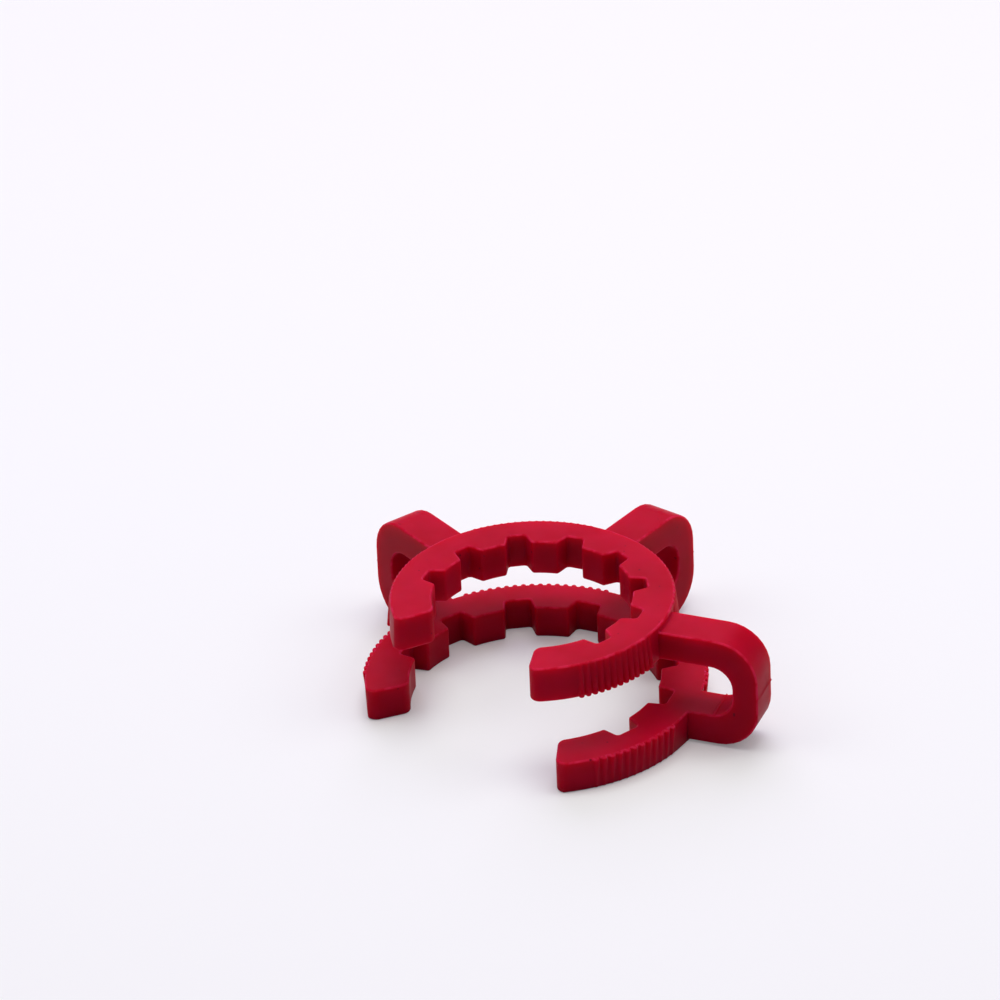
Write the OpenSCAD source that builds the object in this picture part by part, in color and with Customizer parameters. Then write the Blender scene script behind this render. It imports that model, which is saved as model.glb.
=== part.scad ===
// Joint clip: one moulded piece that holds a ground glass cone in its socket.
// The small jaw grips the cone's tube and the large jaw grips the neck below the socket's rim.
// Three loops carry one jaw above the other and give way as the jaws are pressed on.
// The jaws share one upright axis at the origin, the clip lies on Z = 0, and both mouths open
// towards -Y.

/* [Small jaw] */
// Diameter across the tooth tips, set by the tube above the cone
small_grip_d = 27; // [24:0.5:29]
// Radial depth from the tooth tips to the plain rim, at the face towards the large jaw
small_depth = 5.8; // [5:0.1:7]
// Height of the jaw
small_h = 5.1; // [4:0.1:7]
// Angle from the middle of the mouth to each tip, at the rim
small_mouth = 35; // [32:0.5:40]
// Angle between each tip's end face and the middle of the mouth
small_flare = 27; // [20:1:36]

/* [Large jaw] */
// Diameter across the tooth tips, set by the neck of the socket
large_grip_d = 34; // [32:0.5:38]
// Radial depth from the tooth tips to the plain rim, at the face towards the small jaw
large_depth = 6.05; // [5.5:0.05:7.5]
// Height of the jaw
large_h = 4.75; // [3.5:0.05:6]
// Angle from the middle of the mouth to each tip, at the rim
large_mouth = 43.5; // [40:0.5:47]
// Angle between each tip's end face and the middle of the mouth
large_flare = 33; // [26:1:44]

/* [Both jaws] */
// Clear height between the jaws, and inside the loops
jaw_gap = 7.5; // [6.5:0.1:12]
// Radius of the corners at the jaw tips, seen from above
tip_r = 1.4; // [0.4:0.1:1.6]
// Slope of the rims, which narrow from the gap between the jaws towards the clip's outer faces
rim_draft = 2; // [0.5:0.5:3]

/* [Teeth] */
// Notches in each jaw, with one tooth between the middle pair
notch_count = 8; // [4:2:8]
// Angle from one notch of the small jaw to the next
small_pitch = 30; // [26:0.5:30]
// Depth of the notches in the small jaw
small_notch_depth = 2; // [1:0.1:2.4]
// Width of those notches at the tooth tips
small_notch_w = 3.8; // [3.2:0.1:4.4]
// Slope of their flanks from the notch's middle
small_flank = 16; // [10:1:22]
// Angle from one notch of the large jaw to the next
large_pitch = 29.5; // [26:0.5:30]
// Depth of the notches in the large jaw
large_notch_depth = 2.3; // [1:0.1:2.6]
// Width of those notches at the tooth tips
large_notch_w = 4.3; // [3.4:0.1:5]
// Slope of their flanks from the notch's middle
large_flank = 8; // [4:1:16]
// Radius of the tooth corners and of the corners at the notch floor
tooth_r = 0.5; // [0.2:0.1:0.6]

/* [Ribs] */
// Angle from one finger rib to the next
rib_pitch = 2.9; // [2.6:0.1:4]
// Radius of the rounded ribs
rib_r = 0.42; // [0.3:0.02:0.44]
// Height of a rib above the small jaw's rim, at the face towards the large jaw
small_rib_h = 0.45; // [0.35:0.05:0.6]
// Height of a rib above the large jaw's rim, at the face towards the small jaw
large_rib_h = 0.4; // [0.35:0.05:0.6]
// Slope of the ribs against the rim, into which they sink towards the clip's outer faces
rib_sink = 4; // [1:0.5:4]
// Angle from the small jaw's tip to the nearest rib
small_tip_land = 20; // [10:0.5:24]
// Angle from the large jaw's tip to the nearest rib
large_tip_land = 14; // [10:0.5:24]
// Plain rim of the small jaw between the back loop or a side loop's rear and the nearest rib
small_rear_land = 0.8; // [0.5:0.1:3]
// Plain rim of the small jaw between a side loop and the nearest rib towards the mouth
small_front_land = 1.8; // [0.5:0.1:4]
// Plain rim of the large jaw between the back loop or a side loop's rear and the nearest rib
large_rear_land = 1.9; // [0.5:0.1:3]
// Plain rim of the large jaw between a side loop and the nearest rib towards the mouth
large_front_land = 3.9; // [0.5:0.1:5]

/* [Loops] */
// Angle from the back loop to each side loop
side_angle = 73.5; // [64:0.5:84]
// Width of the loop strap
loop_w = 5.7; // [4:0.1:7]
// Reach of the loops beyond the large jaw's rim
loop_reach = 9.7; // [8.5:0.1:14]
// Thickness of the upright that joins a loop's two arms
upright_t = 3.6; // [2:0.1:4.5]
// Radius of the loop's outer corners
loop_r = 5.8; // [4:0.1:6.5]
// Radius of the corners inside the loop
eye_r = 3.1; // [1:0.1:3.2]
// Drop from the top of the small jaw to the top of the loops
top_step = 0.9; // [0.1:0.1:1]
// Rise from the underside of the large jaw to the underside of the loops
base_step = 0.3; // [0.1:0.1:1]

/* [Hidden] */

plastic = "crimson";
small_grip_r = small_grip_d / 2;
large_grip_r = large_grip_d / 2;
small_rim_r = small_grip_r + small_depth;
large_rim_r = large_grip_r + large_depth;
clip_h = large_h + jaw_gap + small_h;
loop_end = large_rim_r + loop_reach;
loop_top = clip_h - top_step;

// Slack that keeps a rounded outline clear of the true circle that trims it
slack = 0.02;
// How far a loop's arm runs into the jaw that carries it
root = 1.6;
// Segments of the trimming circles, of a rib and of a rounded corner
round_fn = 180;
rib_fn = 24;
corner_fn = 32;

// Rounds the corners of an outline that stick out
module round_out(r) {
    offset(r = r, $fn = corner_fn) offset(delta = -r) children();
}

// Rounds the corners of an outline that point in
module round_in(r) {
    offset(r = -r, $fn = corner_fn) offset(delta = r) children();
}

// Everything between the two end faces, which spread from a point behind the jaw's axis
module mouth_wedge(rim_r, mouth, flare) {
    far = 3 * rim_r;
    apex = rim_r * (sin(mouth) / tan(flare) - cos(mouth));
    half = (far + apex) * tan(flare);
    polygon([[0, apex], [-half, -far], [half, -far]]);
}

// A C-shaped ring with rounded tips and true circles inside and out
module ring(grip_r, rim_r, mouth, flare) {
    intersection() {
        difference() {
            circle(r = rim_r, $fn = round_fn);
            circle(r = grip_r, $fn = round_fn);
        }
        round_out(tip_r) difference() {
            circle(r = rim_r + slack, $fn = round_fn);
            circle(r = grip_r - slack, $fn = round_fn);
            mouth_wedge(rim_r, mouth, flare);
        }
    }
}

// The notches between the teeth, with rounded corners at tip and floor
module notches(grip_r, pitch, depth, width, flank) {
    first = 90 - pitch * (notch_count - 1) / 2;
    narrowing = (depth + tooth_r) * tan(flank);
    round_in(tooth_r) {
        circle(r = grip_r - slack, $fn = round_fn);
        for (i = [0 : notch_count - 1])
            rotate(first + i * pitch)
                round_out(tooth_r)
                    polygon([
                        [grip_r - tooth_r, -width / 2],
                        [grip_r + depth, narrowing - width / 2],
                        [grip_r + depth, width / 2 - narrowing],
                        [grip_r - tooth_r, width / 2],
                    ]);
    }
}

// An outline raised to the jaw's height, with a rim that narrows upwards
module drafted(rim_r, height) {
    intersection() {
        linear_extrude(height = height) children();
        cylinder(r1 = rim_r, r2 = rim_r - height * tan(rim_draft), h = height, $fn = round_fn);
    }
}

// Rounded finger ribs along the rim from one angle to another, tallest at the foot
module rib_band(rim_r, jaw_h, height, from, to) {
    steps = floor((to - from) / rib_pitch);
    spare = to - from - steps * rib_pitch;
    for (i = [0 : steps])
        rotate(from + spare / 2 + i * rib_pitch)
            translate([rim_r + height - rib_r, 0, 0])
                rotate([0, -rim_draft - rib_sink, 0])
                    translate([0, 0, -rib_r])
                        cylinder(r = rib_r, h = jaw_h + 2 * rib_r, $fn = rib_fn);
}

// Both sides of the rim, ribbed between the loops and from the side loops to the tips
module ribs(rim_r, jaw_h, height, rear_land, front_land, last) {
    rear = asin((loop_w / 2 + rear_land) / rim_r);
    front = asin((loop_w / 2 + front_land) / rim_r);
    intersection() {
        for (side = [0, 1])
            mirror([side, 0]) {
                rib_band(rim_r, jaw_h, height, 90 + rear, 90 + side_angle - rear);
                rib_band(rim_r, jaw_h, height, 90 + side_angle + front, 90 + last);
            }
        cylinder(r = rim_r + 2 * height, h = jaw_h, $fn = round_fn);
    }
}

module small_jaw() {
    last = 180 - small_mouth - small_tip_land;
    translate([0, 0, clip_h - small_h]) {
        drafted(small_rim_r, small_h)
            difference() {
                ring(small_grip_r, small_rim_r, small_mouth, small_flare);
                notches(
                    small_grip_r, small_pitch, small_notch_depth, small_notch_w, small_flank
                );
            }
        ribs(small_rim_r, small_h, small_rib_h, small_rear_land, small_front_land, last);
    }
}

// Built foot up like the small jaw, then turned over so that its foot faces the gap
module large_jaw() {
    last = 180 - large_mouth - large_tip_land;
    translate([0, 0, large_h])
        mirror([0, 0, 1]) {
            drafted(large_rim_r, large_h)
                difference() {
                    ring(large_grip_r, large_rim_r, large_mouth, large_flare);
                    notches(
                        large_grip_r, large_pitch, large_notch_depth, large_notch_w, large_flank
                    );
                }
            ribs(large_rim_r, large_h, large_rib_h, large_rear_land, large_front_land, last);
        }
}

// Side view of a loop: its outer form less the eye, with each arm starting inside its own jaw.
// The eye is as high as the gap, so the arms run on flush from the jaws' inner faces.
module loop_side() {
    difference() {
        round_out(loop_r)
            translate([small_rim_r - root - loop_r, base_step])
                square([loop_end - small_rim_r + root + loop_r, loop_top - base_step]);
        round_out(eye_r)
            translate([0, large_h])
                square([loop_end - upright_t, jaw_gap]);
        square([small_rim_r - root, clip_h]);
        square([large_rim_r - root, large_h + jaw_gap / 2]);
    }
}

module loops() {
    for (turn = [-side_angle, 0, side_angle])
        rotate([90, 0, 90 + turn])
            linear_extrude(height = loop_w, center = true)
                loop_side();
}

module joint_clip() {
    color(plastic) {
        small_jaw();
        large_jaw();
        loops();
    }
}

joint_clip();
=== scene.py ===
import math

import bmesh
import bpy
from mathutils import Matrix, Vector


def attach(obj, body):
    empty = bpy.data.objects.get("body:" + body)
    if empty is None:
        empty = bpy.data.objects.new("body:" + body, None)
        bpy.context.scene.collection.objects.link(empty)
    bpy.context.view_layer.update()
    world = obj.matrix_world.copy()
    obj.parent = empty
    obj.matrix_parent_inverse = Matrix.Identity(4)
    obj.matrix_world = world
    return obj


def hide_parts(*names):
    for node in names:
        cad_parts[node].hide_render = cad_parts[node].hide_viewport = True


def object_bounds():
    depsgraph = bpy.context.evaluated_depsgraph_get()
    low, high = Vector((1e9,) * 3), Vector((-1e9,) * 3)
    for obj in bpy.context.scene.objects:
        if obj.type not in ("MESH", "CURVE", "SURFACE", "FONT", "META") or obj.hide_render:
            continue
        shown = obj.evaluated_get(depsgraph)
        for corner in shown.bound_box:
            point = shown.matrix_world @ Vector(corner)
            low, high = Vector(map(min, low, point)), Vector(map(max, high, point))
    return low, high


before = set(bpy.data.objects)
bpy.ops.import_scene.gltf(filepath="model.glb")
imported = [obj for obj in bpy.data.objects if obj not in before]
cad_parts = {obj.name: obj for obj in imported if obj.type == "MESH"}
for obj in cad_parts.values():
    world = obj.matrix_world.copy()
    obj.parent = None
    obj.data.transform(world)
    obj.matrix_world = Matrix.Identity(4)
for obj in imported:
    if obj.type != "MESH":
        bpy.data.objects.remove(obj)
cad_low, cad_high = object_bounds()
scene = bpy.context.scene

# Clip: one piece of acetal, injection moulded in a deep red, with two toothed C-shaped jaws
# that three sprung loops hold apart. It is a welded copy of the solid. The mould leaves a fine
# raised line where its halves meet and round the cores of the loops, and no sharp outer edge.

clip_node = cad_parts["joint_clip"]
weld_gap = 0.00005
crumb_size = 0.00001
flat_turn = math.radians(0.2)

clip_form = bmesh.new()
clip_form.from_mesh(clip_node.data)
bmesh.ops.remove_doubles(clip_form, verts=clip_form.verts, dist=weld_gap)
bmesh.ops.dissolve_degenerate(clip_form, dist=crumb_size, edges=clip_form.edges)
bmesh.ops.dissolve_limit(
    clip_form,
    angle_limit=flat_turn,
    verts=clip_form.verts,
    edges=clip_form.edges,
    use_dissolve_boundaries=False,
)

side_loop_turn = math.radians(73.5)
loop_end = cad_high.y
strap_half = 0.00286
seam_height = cad_low.z + 0.0084
core_reach = loop_end - 0.0063
core_band = 0.0012
line_half = 0.00018
seam_rise = 0.00015
core_rise = 0.00022
hair = 0.000002
square_on = 0.999
upward = Vector((0, 0, 1))
mostly_upward = 0.7
line_edges = set()


def raise_line(faces, place, along, lift):
    """Cut three lines over the faces, square to the direction along, and lift the middle one."""
    parts = list(faces)
    for face in faces:
        parts += [*face.edges, *face.verts]
    for step in (-line_half, line_half, 0):
        cut = bmesh.ops.bisect_plane(
            clip_form,
            geom=list(dict.fromkeys(parts)),
            dist=hair,
            plane_co=place + along * step,
            plane_no=along,
        )
        parts += cut["geom"]
    line_edges.update(part for part in cut["geom_cut"] if isinstance(part, bmesh.types.BMEdge))
    crest = [part for part in cut["geom_cut"] if isinstance(part, bmesh.types.BMVert)]
    bmesh.ops.translate(clip_form, vec=lift, verts=crest)


for loop_turn in (-side_loop_turn, 0, side_loop_turn):
    out = Vector((math.sin(loop_turn), math.cos(loop_turn), 0))
    end_faces = []
    arm_faces = []
    for face in clip_form.faces:
        centre = face.calc_center_median()
        reach = centre.dot(out)
        if (centre - out * reach).xy.length > strap_half:
            continue
        if face.normal.dot(out) > square_on and reach > loop_end - hair:
            end_faces.append(face)
        elif (
            face.normal.z > mostly_upward
            and abs(reach - core_reach) < core_band
            and centre.z < seam_height
        ):
            arm_faces.append(face)
    raise_line(end_faces, upward * seam_height, upward, out * seam_rise)
    raise_line(arm_faces, out * core_reach, out, upward * core_rise)

sharp_turn = math.radians(55)
edge_radius = 0.0003
edge_steps = 4
scrap_size = 0.00002
low_step = cad_low.z + 0.0004
mostly_level = 0.5
shading_turn = math.radians(25)


def under_a_loop(edge):
    """The step from the large jaw's foot up to a loop is lower than the rounding."""
    walls = [face for face in edge.link_faces if abs(face.normal.z) < mostly_level]
    return any(max(vert.co.z for vert in wall.verts) < low_step for wall in walls)


outer_edges = [
    edge
    for edge in clip_form.edges
    if edge.is_convex
    and edge.calc_face_angle() > sharp_turn
    and edge not in line_edges
    and not under_a_loop(edge)
]
# Vertices in the middle of each rounding are marked for a painted highlight along the edges.
edge_highlight_layer = clip_form.verts.layers.float.new("painted_edge_highlight")
rounding = bmesh.ops.bevel(
    clip_form,
    geom=outer_edges,
    affect="EDGES",
    offset=edge_radius,
    offset_type="OFFSET",
    segments=edge_steps,
    profile=0.5,
    material=-1,
    clamp_overlap=False,
)
rounded_faces = set(rounding["faces"])
for vert in rounding["verts"]:
    if vert.is_valid and all(face in rounded_faces for face in vert.link_faces):
        vert[edge_highlight_layer] = 1.0
bmesh.ops.dissolve_degenerate(clip_form, dist=scrap_size, edges=clip_form.edges)
for face in clip_form.faces:
    face.smooth = True

clip_mesh = bpy.data.meshes.new("clip")
clip_form.to_mesh(clip_mesh)
clip_form.free()
clip_mesh.set_sharp_from_angle(angle=shading_turn)
clip = bpy.data.objects.new("clip", clip_mesh)
scene.collection.objects.link(clip)
flats = clip.modifiers.new("flat faces stay flat", "WEIGHTED_NORMAL")
flats.keep_sharp = True
flats.weight = 50

# Acetal: coloured right through, a little clouded by the flow into the mould, satin all over,
# with a few dark specks, and duller on the rounded edges, which are painted paler as a
# highlight.
# Light goes some millimetres in, and shows as a red glow just below the edges.

deep_red = (0.40, 0.0012, 0.014, 1.0)
clouded_red = (0.475, 0.0020, 0.021, 1.0)
# A paler red, painted on the rounded edges as a highlight.
edge_highlight_red = (0.62, 0.025, 0.085, 1.0)
speck_red = (0.18, 0.002, 0.013, 1.0)
glow_depth = 0.0050
edge_highlight_strength = 0.8
rub_roughness = 0.12
ripple_share = 4.0
grain_share = 0.5

plastic = bpy.data.materials.new("red_acetal")
plastic.use_nodes = True
nodes = plastic.node_tree.nodes
links = plastic.node_tree.links
surface = nodes["Principled BSDF"]
surface.inputs["IOR"].default_value = 1.48
surface.inputs["Specular IOR Level"].default_value = 0.034
surface.inputs["Subsurface Weight"].default_value = 1.0
surface.inputs["Subsurface Radius"].default_value = (1.0, 0.06, 0.12)
surface.inputs["Subsurface Scale"].default_value = glow_depth
own_space = nodes.new("ShaderNodeTexCoord")


def speckle(scale, detail, roughness=0.5):
    noise = nodes.new("ShaderNodeTexNoise")
    noise.inputs["Scale"].default_value = scale
    noise.inputs["Detail"].default_value = detail
    noise.inputs["Roughness"].default_value = roughness
    links.new(own_space.outputs["Object"], noise.inputs["Vector"])
    return noise.outputs["Fac"]


def spread(value, low, high, to_low, to_high):
    span = nodes.new("ShaderNodeMapRange")
    span.inputs["From Min"].default_value = low
    span.inputs["From Max"].default_value = high
    span.inputs["To Min"].default_value = to_low
    span.inputs["To Max"].default_value = to_high
    links.new(value, span.inputs["Value"])
    return span.outputs["Result"]


def tint(factor, under, over):
    mix = nodes.new("ShaderNodeMix")
    mix.data_type = "RGBA"
    links.new(factor, mix.inputs["Factor"])
    for socket, colour in ((mix.inputs["A"], under), (mix.inputs["B"], over)):
        if isinstance(colour, tuple):
            socket.default_value = colour
        else:
            links.new(colour, socket)
    return mix.outputs["Result"]


def combine(operation, first, second):
    maths = nodes.new("ShaderNodeMath")
    maths.operation = operation
    for socket, value in zip(maths.inputs, (first, second)):
        if isinstance(value, (int, float)):
            socket.default_value = value
        else:
            links.new(value, socket)
    return maths.outputs[0]


# The rounded edges are painted paler as a highlight, broken up by noise; the same mask makes
# them duller.
edge_highlight_mark = nodes.new("ShaderNodeAttribute")
edge_highlight_mark.attribute_name = "painted_edge_highlight"
edge_breakup = spread(speckle(700, 3, 0.6), 0.40, 0.62, 0.15, 1.0)
edge_highlight_mask = combine("MULTIPLY", edge_highlight_mark.outputs["Fac"], edge_breakup)
cloud = spread(speckle(130, 3), 0.35, 0.65, 0.0, 1.0)
specks = spread(speckle(1500, 0), 0.84, 0.87, 0.0, 1.0)
satin = spread(speckle(420, 3), 0.30, 0.70, 0.34, 0.46)
grain = combine("MULTIPLY", speckle(5200, 2), grain_share)
ripple = combine("MULTIPLY", speckle(260, 1), ripple_share)

body_colour = tint(cloud, deep_red, clouded_red)
edge_highlighted_colour = tint(combine("MULTIPLY", edge_highlight_mask, edge_highlight_strength), body_colour, edge_highlight_red)
links.new(tint(specks, edge_highlighted_colour, speck_red), surface.inputs["Base Color"])

rub_dulling = combine("MULTIPLY", edge_highlight_mask, rub_roughness)
links.new(combine("ADD", satin, rub_dulling), surface.inputs["Roughness"])

relief = nodes.new("ShaderNodeBump")
relief.inputs["Strength"].default_value = 0.6
relief.inputs["Distance"].default_value = 0.00001
links.new(combine("ADD", ripple, grain), relief.inputs["Height"])
links.new(relief.outputs["Normal"], surface.inputs["Normal"])

clip_mesh.materials.append(plastic)

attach(clip, "root")
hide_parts("joint_clip")

# Floor: a wide sheet of matt white board. The camera and the clip's gloss see it bright, with
# its shadows lifted a little, and the light that it throws back up at the clip is held down,
# so the clip's sides stay deep.

floor_half = 3.0
shadow_lift = 0.18

floor_form = bmesh.new()
bmesh.ops.create_grid(floor_form, x_segments=1, y_segments=1, size=floor_half)
floor_mesh = bpy.data.meshes.new("floor")
floor_form.to_mesh(floor_mesh)
floor_form.free()
floor_mesh.transform(Matrix.Translation((0, 0, cad_low.z)))
floor = bpy.data.objects.new("floor", floor_mesh)
scene.collection.objects.link(floor)

board = bpy.data.materials.new("white_board")
board.use_nodes = True
board_nodes = board.node_tree.nodes
board_links = board.node_tree.links
board_nodes.remove(board_nodes["Principled BSDF"])
bright = board_nodes.new("ShaderNodeBsdfDiffuse")
bright.inputs["Color"].default_value = (0.90, 0.94, 0.885, 1)
white = board_nodes.new("ShaderNodeEmission")
white.inputs["Color"].default_value = (0.95, 0.95, 0.96, 1)
lifted = board_nodes.new("ShaderNodeMixShader")
lifted.inputs[0].default_value = shadow_lift
board_links.new(bright.outputs[0], lifted.inputs[1])
board_links.new(white.outputs[0], lifted.inputs[2])
dim = board_nodes.new("ShaderNodeBsdfDiffuse")
dim.inputs["Color"].default_value = (0.44, 0.41, 0.46, 1)
ray = board_nodes.new("ShaderNodeLightPath")
seen = board_nodes.new("ShaderNodeMath")
seen.operation = "MAXIMUM"
board_links.new(ray.outputs["Is Camera Ray"], seen.inputs[0])
board_links.new(ray.outputs["Is Glossy Ray"], seen.inputs[1])
choice = board_nodes.new("ShaderNodeMixShader")
board_links.new(seen.outputs[0], choice.inputs[0])
board_links.new(dim.outputs[0], choice.inputs[1])
board_links.new(lifted.outputs[0], choice.inputs[2])
board_links.new(choice.outputs[0], board_nodes["Material Output"].inputs["Surface"])
floor_mesh.materials.append(board)

# Light: four soft boxes in a dim lilac room. The strongest hangs overhead, the next high behind
# the clip as the camera sees it, a little lilac too, and a weak one at either hand.

world = bpy.data.worlds.new("room")
scene.world = world
world.use_nodes = True
room = world.node_tree.nodes["Background"]
room.inputs["Color"].default_value = (0.90, 0.74, 1, 1)
room.inputs["Strength"].default_value = 0.27

middle = (cad_low + cad_high) / 2


def soft_box(name, place, size, power, colour=(1, 1, 1)):
    lamp = bpy.data.lights.new(name, "AREA")
    lamp.shape = "SQUARE"
    lamp.size = size
    lamp.energy = power
    lamp.color = colour
    holder = bpy.data.objects.new(name, lamp)
    scene.collection.objects.link(holder)
    holder.location = place
    holder.rotation_euler = (middle - Vector(place)).to_track_quat("-Z", "Y").to_euler()


soft_box("overhead_box", (0.008, 0.070, 0.727), 0.45, 2.55)
soft_box("back_box", (-0.352, 0.443, 0.566), 0.64, 2.52, (0.808, 0.683, 1))
soft_box("right_box", (0.367, 0.292, 0.559), 0.40, 0.75)
soft_box("left_box", (-0.367, -0.292, 0.559), 0.40, 0.73)

# Camera: a long lens from the front right of the clip, looking down at it. The middle of the
# view falls on the floor behind the clip, and the camera leans a little.

camera_turn = math.radians(38.5)
camera_tilt = math.radians(30.73)
camera_lean = math.radians(-2.40)
camera_distance = 1.0438
aim = Vector((-0.0364, 0.0397, cad_low.z + 0.0002))

across = Vector((math.cos(camera_turn), math.sin(camera_turn), 0))
level_ahead = Vector((-math.sin(camera_turn), math.cos(camera_turn), 0))
ahead = level_ahead * math.cos(camera_tilt) - upward * math.sin(camera_tilt)
overhead = across.cross(ahead)
camera_right = across * math.cos(camera_lean) + overhead * math.sin(camera_lean)
camera_up = overhead * math.cos(camera_lean) - across * math.sin(camera_lean)

lens = bpy.data.cameras.new("camera")
lens.sensor_width = 36
lens.lens = 265.7
lens.clip_start = 0.05
lens.clip_end = 20
camera = bpy.data.objects.new("camera", lens)
scene.collection.objects.link(camera)
camera.matrix_world = Matrix.Translation(aim - ahead * camera_distance) @ Matrix(
    (camera_right, camera_up, -ahead)
).transposed().to_4x4()
scene.camera = camera

scene.view_settings.view_transform = "Standard"
